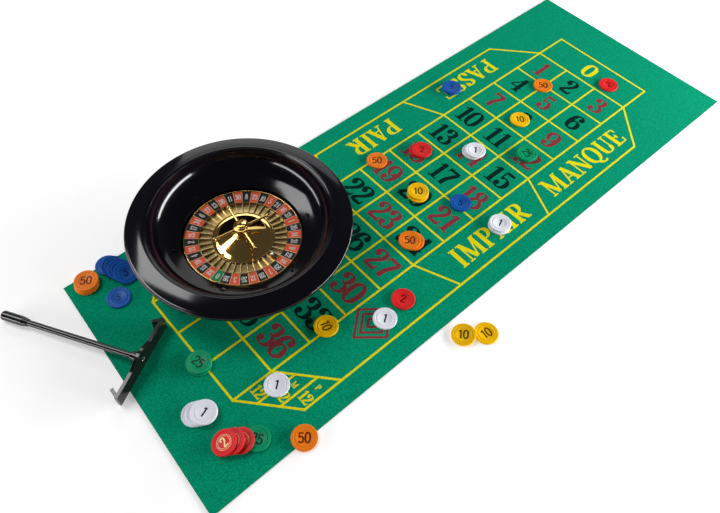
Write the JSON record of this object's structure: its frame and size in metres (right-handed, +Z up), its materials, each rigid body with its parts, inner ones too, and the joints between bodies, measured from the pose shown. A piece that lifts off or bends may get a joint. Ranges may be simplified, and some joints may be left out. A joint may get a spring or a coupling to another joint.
{
  "type": "tabletop roulette set",
  "caption": "Tabletop roulette set: a printed felt layout with a bearing-mounted spinning wheel in a black bowl, a ball, a rake and loose gaming chips.",
  "frame": {"origin": "middle of the layout cloth's underside, on the surface the set stands on", "axes": "+X along the cloth towards the zero end of the layout, +Y across it towards the wheel's side, +Z up along the wheel's axis"},
  "size_m": [1.0854, 0.4813, 0.0662],
  "materials": {
    "felt_green": "printed green felt",
    "bowl_black": "polished moulded black",
    "pad_rubber": "soft black pads",
    "base_plate_black": "fine-textured black",
    "rotor_black": "polished moulded black",
    "number_ring_print": "printed red, black and green boxes with white figures",
    "rake_black": "polished moulded black",
    "bearing_brass": "pressed brass cage",
    "steel": "bright machined steel",
    "ball_steel": "polished steel",
    "gold_metal": "mirror-polished gold-coloured plating",
    "chip_white": "moulded white",
    "chip_red": "moulded red",
    "chip_blue": "moulded blue",
    "chip_yellow": "moulded yellow",
    "chip_green": "moulded green",
    "chip_orange": "moulded orange"
  },
  "bodies": {
    "table": {"layout_cloth": "felt_green"},
    "wheel": {"bowl": "bowl_black", "foot_pads": "pad_rubber", "base_plate": "base_plate_black", "base_screws": "steel", "deflectors": "bowl_black", "spindle": "steel", "spindle_nut": "steel", "bearing_inner_race": "steel"},
    "bearing_set": {"bearing_balls": "steel", "bearing_cage": "bearing_brass"},
    "rotor": {"rotor_dish": "rotor_black", "bearing_outer_race": "steel", "number_ring": "number_ring_print", "rim_band": "gold_metal", "pocket_tray": "gold_metal", "pocket_frets": "gold_metal", "cone": "gold_metal", "cone_screws": "steel", "turret_base": "gold_metal", "turret_column": "gold_metal", "arm_hub": "gold_metal", "arms": "gold_metal", "arm_knobs": "gold_metal", "turret_cap": "gold_metal", "turret_stud": "steel", "turret_nut": "steel"},
    "roulette_ball": {"ball": "ball_steel"},
    "rake": {"rake_shaft": "rake_black", "rake_grip": "rake_black", "rake_blade": "rake_black", "rake_screw": "steel"},
    "loose_chip_red_zero": {"chip_red_zero": "chip_red"},
    "loose_chip_orange_row_1": {"chip_orange_row_1": "chip_orange"},
    "loose_chips_blue_passe": {"chips_blue_passe": "chip_blue"},
    "loose_chip_yellow_row_3": {"chip_yellow_row_3": "chip_yellow"},
    "loose_chips_green_row_4": {"chips_green_row_4": "chip_green"},
    "loose_chips_white_row_5": {"chips_white_row_5": "chip_white"},
    "loose_chips_red_row_6": {"chips_red_row_6": "chip_red"},
    "loose_chip_blue_row_6": {"chip_blue_row_6": "chip_blue"},
    "loose_chips_white_impair": {"chips_white_impair": "chip_white"},
    "loose_chips_yellow_row_7": {"chips_yellow_row_7": "chip_yellow"},
    "loose_chip_orange_row_7": {"chip_orange_row_7": "chip_orange"},
    "loose_chips_orange_row_8": {"chips_orange_row_8": "chip_orange"},
    "loose_chip_red_row_9": {"chip_red_row_9": "chip_red"},
    "loose_chip_white_row_10": {"chip_white_row_10": "chip_white"},
    "loose_chip_yellow_row_11": {"chip_yellow_row_11": "chip_yellow"},
    "loose_chip_white_dozen": {"chip_white_dozen": "chip_white"},
    "loose_chips_green_end": {"chips_green_end": "chip_green"},
    "loose_chip_blue_end": {"chip_blue_end": "chip_blue"},
    "loose_chips_orange_corner": {"chips_orange_corner": "chip_orange"},
    "loose_chips_white_fan": {"chips_white_fan": "chip_white"},
    "loose_chips_blue_fan": {"chips_blue_fan": "chip_blue"},
    "loose_chips_red_fan": {"chips_red_fan": "chip_red", "chip_green_under_fan": "chip_green"},
    "loose_chips_yellow_pair": {"chips_yellow_pair": "chip_yellow"},
    "loose_chip_orange_edge": {"chip_orange_edge": "chip_orange"}
  },
  "joints": [
    {"name": "wheel_lift", "type": "slide", "parent": "table", "child": "wheel", "axis": [0, 0, 1], "range_m": [0, 0.12]},
    {"name": "rotor_spin", "type": "hinge", "parent": "wheel", "child": "rotor", "pos_m": [-0.27816, 0.0868, 0.0163], "axis": [0, 0, 1], "continuous": true},
    {"name": "bearing_roll", "type": "hinge", "parent": "wheel", "child": "bearing_set", "pos_m": [-0.27816, 0.0868, 0.0163], "axis": [0, 0, 1], "continuous": true},
    {"name": "ball_lift", "type": "slide", "parent": "rotor", "child": "roulette_ball", "axis": [0, 0, 1], "range_m": [0, 0.06]},
    {"name": "rake_lift", "type": "slide", "parent": "table", "child": "rake", "axis": [0, 0, 1], "range_m": [0, 0.12]},
    {"name": "chip_red_zero_lift", "type": "slide", "parent": "table", "child": "loose_chip_red_zero", "axis": [0, 0, 1], "range_m": [0, 0.06]},
    {"name": "chip_orange_row_1_lift", "type": "slide", "parent": "table", "child": "loose_chip_orange_row_1", "axis": [0, 0, 1], "range_m": [0, 0.06]},
    {"name": "chips_blue_passe_lift", "type": "slide", "parent": "table", "child": "loose_chips_blue_passe", "axis": [0, 0, 1], "range_m": [0, 0.06]},
    {"name": "chip_yellow_row_3_lift", "type": "slide", "parent": "table", "child": "loose_chip_yellow_row_3", "axis": [0, 0, 1], "range_m": [0, 0.06]},
    {"name": "chips_green_row_4_lift", "type": "slide", "parent": "table", "child": "loose_chips_green_row_4", "axis": [0, 0, 1], "range_m": [0, 0.06]},
    {"name": "chips_white_row_5_lift", "type": "slide", "parent": "table", "child": "loose_chips_white_row_5", "axis": [0, 0, 1], "range_m": [0, 0.06]},
    {"name": "chips_red_row_6_lift", "type": "slide", "parent": "table", "child": "loose_chips_red_row_6", "axis": [0, 0, 1], "range_m": [0, 0.06]},
    {"name": "chip_blue_row_6_lift", "type": "slide", "parent": "table", "child": "loose_chip_blue_row_6", "axis": [0, 0, 1], "range_m": [0, 0.06]},
    {"name": "chips_white_impair_lift", "type": "slide", "parent": "table", "child": "loose_chips_white_impair", "axis": [0, 0, 1], "range_m": [0, 0.06]},
    {"name": "chips_yellow_row_7_lift", "type": "slide", "parent": "table", "child": "loose_chips_yellow_row_7", "axis": [0, 0, 1], "range_m": [0, 0.06]},
    {"name": "chip_orange_row_7_lift", "type": "slide", "parent": "table", "child": "loose_chip_orange_row_7", "axis": [0, 0, 1], "range_m": [0, 0.06]},
    {"name": "chips_orange_row_8_lift", "type": "slide", "parent": "table", "child": "loose_chips_orange_row_8", "axis": [0, 0, 1], "range_m": [0, 0.06]},
    {"name": "chip_red_row_9_lift", "type": "slide", "parent": "table", "child": "loose_chip_red_row_9", "axis": [0, 0, 1], "range_m": [0, 0.06]},
    {"name": "chip_white_row_10_lift", "type": "slide", "parent": "table", "child": "loose_chip_white_row_10", "axis": [0, 0, 1], "range_m": [0, 0.06]},
    {"name": "chip_yellow_row_11_lift", "type": "slide", "parent": "table", "child": "loose_chip_yellow_row_11", "axis": [0, 0, 1], "range_m": [0, 0.06]},
    {"name": "chip_white_dozen_lift", "type": "slide", "parent": "table", "child": "loose_chip_white_dozen", "axis": [0, 0, 1], "range_m": [0, 0.06]},
    {"name": "chips_green_end_lift", "type": "slide", "parent": "table", "child": "loose_chips_green_end", "axis": [0, 0, 1], "range_m": [0, 0.06]},
    {"name": "chip_blue_end_lift", "type": "slide", "parent": "table", "child": "loose_chip_blue_end", "axis": [0, 0, 1], "range_m": [0, 0.06]},
    {"name": "chips_orange_corner_lift", "type": "slide", "parent": "table", "child": "loose_chips_orange_corner", "axis": [0, 0, 1], "range_m": [0, 0.06]},
    {"name": "chips_white_fan_lift", "type": "slide", "parent": "table", "child": "loose_chips_white_fan", "axis": [0, 0, 1], "range_m": [0, 0.06]},
    {"name": "chips_blue_fan_lift", "type": "slide", "parent": "table", "child": "loose_chips_blue_fan", "axis": [0, 0, 1], "range_m": [0, 0.025]},
    {"name": "chips_red_fan_lift", "type": "slide", "parent": "table", "child": "loose_chips_red_fan", "axis": [0, 0, 1], "range_m": [0, 0.06]},
    {"name": "chips_yellow_pair_lift", "type": "slide", "parent": "table", "child": "loose_chips_yellow_pair", "axis": [0, 0, 1], "range_m": [0, 0.06]},
    {"name": "chip_orange_edge_lift", "type": "slide", "parent": "table", "child": "loose_chip_orange_edge", "axis": [0, 0, 1], "range_m": [0, 0.06]}
  ],
  "couplings": [
    {"joint": "bearing_roll", "follows": "rotor_spin", "ratio": 0.6307}
  ]
}
